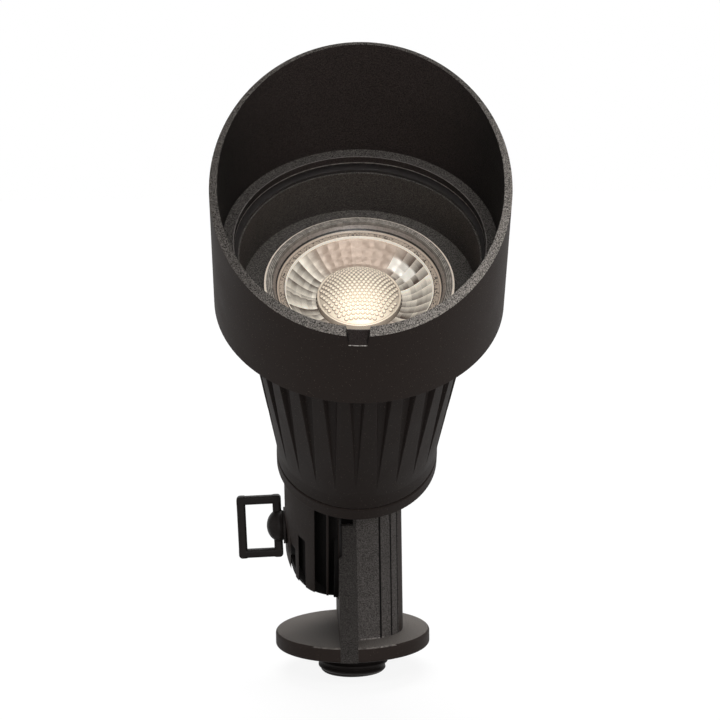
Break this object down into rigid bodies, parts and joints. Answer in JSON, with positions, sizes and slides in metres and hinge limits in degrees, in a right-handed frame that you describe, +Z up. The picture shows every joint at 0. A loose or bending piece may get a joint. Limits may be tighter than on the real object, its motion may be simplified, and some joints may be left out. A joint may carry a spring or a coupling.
{
  "type": "landscape spotlight",
  "caption": "Garden spotlight: threaded nipple and flange, tilting knuckle clamped by a thumb screw, fluted housing, reflector lamp behind a flat lens, slant-cut glare cowl.",
  "frame": {"origin": "on the nipple's axis in the plane of the flange's underside, where the light seats on a stake, box or mount", "axes": "+Z up along the nipple's axis, out of the mount; -Y is the side that the head tilts to and shines over; +X is the light's own left-to-right with the tilt axis along X and the thumb screw on the -X side"},
  "size_m": [0.0768, 0.1282, 0.1858],
  "materials": {
    "coated_casting": "matte",
    "coated_nipple": "matte",
    "dark_grip": "satin",
    "brass_insert": "satin",
    "steel_hardware": "satin",
    "pin_metal": "satin",
    "black_rubber": "matte",
    "fibre_washer": "matte",
    "ceramic_socket": "matte",
    "lead_sleeve": "matte",
    "lamp_glass": "gloss",
    "lamp_board": "matte",
    "lamp_optic": "gloss",
    "lens_glass": "gloss"
  },
  "bodies": {
    "base": {"stem_base": "coated_casting", "threaded_nipple": "coated_nipple", "pivot_insert": "brass_insert", "pivot_gasket": "black_rubber", "friction_washer": "fibre_washer"},
    "clamp_washer": {"screw_washer": "dark_grip"},
    "clamp_screw": {"thumb_screw": "steel_hardware", "thumb_grip": "dark_grip"},
    "head": {"knuckle_arm": "coated_casting", "collar_gasket": "black_rubber", "arm_screws": "steel_hardware", "housing": "coated_casting", "mouth_o_rings": "black_rubber", "wire_grommet": "black_rubber", "socket_bracket": "steel_hardware", "bracket_screws": "steel_hardware", "lamp_socket": "ceramic_socket", "socket_contacts": "brass_insert", "socket_leads": "lead_sleeve", "lamp_cup": "lamp_glass", "lamp_base": "ceramic_socket", "lamp_pins": "pin_metal", "lamp_board": "lamp_board", "lamp_optic": "lamp_optic"},
    "lens_carrier": {"lens": "lens_glass", "lens_gasket": "black_rubber"},
    "cowl_body": {"cowl": "coated_casting"}
  },
  "joints": [
    {"name": "head_tilt", "type": "hinge", "parent": "base", "child": "head", "pos_m": [0, 0, 0.0366], "axis": [1, 0, 0], "range_deg": [-119, 41]},
    {"name": "washer_slide", "type": "slide", "parent": "base", "child": "clamp_washer", "axis": [-1, 0, 0], "range_m": [0, 0.006]},
    {"name": "thumb_screw_turn", "type": "hinge", "parent": "clamp_washer", "child": "clamp_screw", "pos_m": [-0.02, 0, 0.0366], "axis": [-1, 0, 0], "range_deg": [0, 2160]},
    {"name": "cowl_pull", "type": "slide", "parent": "head", "child": "lens_carrier", "axis": [0, -0.6293, 0.7771], "range_m": [0, 0.016]},
    {"name": "cowl_turn", "type": "hinge", "parent": "lens_carrier", "child": "cowl_body", "pos_m": [0.0015, -0.06922, 0.12209], "axis": [0, -0.6293, 0.7771], "continuous": true}
  ],
  "couplings": [
    {"joint": "thumb_screw_turn", "follows": "washer_slide", "rad_per_m": 6283.2}
  ]
}
